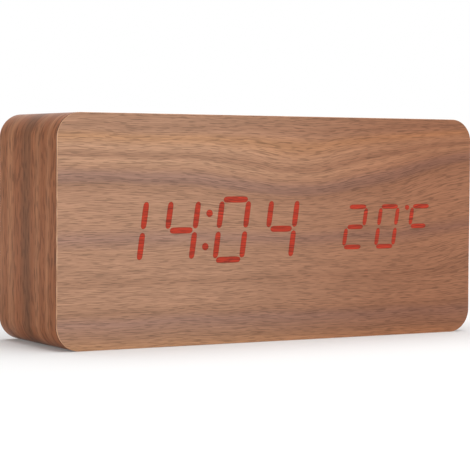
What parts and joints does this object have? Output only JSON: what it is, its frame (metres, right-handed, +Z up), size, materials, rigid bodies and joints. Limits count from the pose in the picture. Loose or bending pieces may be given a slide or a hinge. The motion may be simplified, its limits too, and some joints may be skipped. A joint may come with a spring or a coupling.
{
  "type": "digital alarm clock",
  "caption": "Walnut block alarm clock with rounded corners, red seven-segment time and temperature shining through the front veneer, buttons and battery door at the back.",
  "frame": {"origin": "centre of the footprint, on the surface that the clock stands on", "axes": "+X along the front to the right as seen from the front, +Y from the front to the back, +Z up"},
  "size_m": [0.15, 0.043, 0.07],
  "materials": {
    "walnut_side": "walnut foil wrapped round board, grain running round the corners",
    "walnut_front": "thin walnut veneer, satin",
    "walnut_back": "walnut foil on board, satin",
    "fibreboard": "raw fibreboard",
    "lit_red": "red light guide",
    "mask_white": "moulded white",
    "circuit_green": "solder mask on glass laminate",
    "chip_black": "moulded epoxy",
    "plastic_brown": "moulded, satin",
    "plastic_dark": "moulded, fine spark texture",
    "plastic_cream": "moulded nylon",
    "steel": "zinc plated",
    "zinc_black": "black oxide",
    "nickel": "nickel plated",
    "cell_sleeve": "printed sleeve, plain",
    "bead_epoxy": "dipped epoxy",
    "lead_red": "insulated lead",
    "lead_black": "insulated lead",
    "ribbon_grey": "flat cable"
  },
  "bodies": {
    "case": {"case_band": "walnut_side", "front_veneer": "walnut_front", "front_board": "fibreboard", "segment_mask": "mask_white", "hour_tens_light": "lit_red", "hour_units_light": "lit_red", "colon_light": "lit_red", "minute_tens_light": "lit_red", "minute_units_light": "lit_red", "temperature_tens_light": "lit_red", "temperature_units_light": "lit_red", "degree_light": "lit_red", "display_board": "circuit_green", "display_screw_1": "steel", "display_screw_2": "steel", "display_screw_3": "steel", "display_screw_4": "steel", "clock_chip": "chip_black", "driver_chip": "chip_black", "timing_crystal": "nickel", "backup_holder": "chip_black", "backup_cell": "nickel", "microphone": "steel", "thermistor": "bead_epoxy", "back_panel": "walnut_back", "back_screw_1": "zinc_black", "back_screw_2": "zinc_black", "back_screw_3": "zinc_black", "back_screw_4": "zinc_black", "control_plate": "plastic_dark", "control_board": "circuit_green", "control_screw_1": "steel", "control_screw_2": "steel", "set_switch": "chip_black", "up_switch": "chip_black", "down_switch": "chip_black", "sound_switch": "steel", "power_jack": "chip_black", "buzzer": "chip_black", "battery_box": "plastic_dark", "battery_cell_1": "cell_sleeve", "battery_cell_2": "cell_sleeve", "battery_cell_3": "cell_sleeve", "battery_cell_4": "cell_sleeve", "positive_contact": "nickel", "negative_contact": "nickel", "link_contact_1": "nickel", "link_contact_2": "nickel", "link_contact_3": "nickel", "battery_lead_positive": "lead_red", "battery_lead_negative": "lead_black", "control_header": "plastic_cream", "display_header": "plastic_cream", "ribbon_cable": "ribbon_grey"},
    "set_button": {"set_button": "plastic_brown"},
    "up_button": {"up_button": "plastic_brown"},
    "down_button": {"down_button": "plastic_brown"},
    "sound_lever": {"sound_lever": "plastic_cream"},
    "battery_door": {"battery_door": "plastic_dark"}
  },
  "joints": [
    {"name": "set_press", "type": "slide", "parent": "case", "child": "set_button", "axis": [0, -1, 0], "range_m": [0, 0.0006], "stiffness_N_per_m": 800},
    {"name": "up_press", "type": "slide", "parent": "case", "child": "up_button", "axis": [0, -1, 0], "range_m": [0, 0.0006], "stiffness_N_per_m": 800},
    {"name": "down_press", "type": "slide", "parent": "case", "child": "down_button", "axis": [0, -1, 0], "range_m": [0, 0.0006], "stiffness_N_per_m": 800},
    {"name": "sound_slide", "type": "slide", "parent": "case", "child": "sound_lever", "axis": [1, 0, 0], "range_m": [0, 0.002]},
    {"name": "door_tilt", "type": "hinge", "parent": "case", "child": "battery_door", "pos_m": [-0.03315, 0.0212, 0.0125], "axis": [-1, 0, 0], "range_deg": [0, 80]}
  ]
}
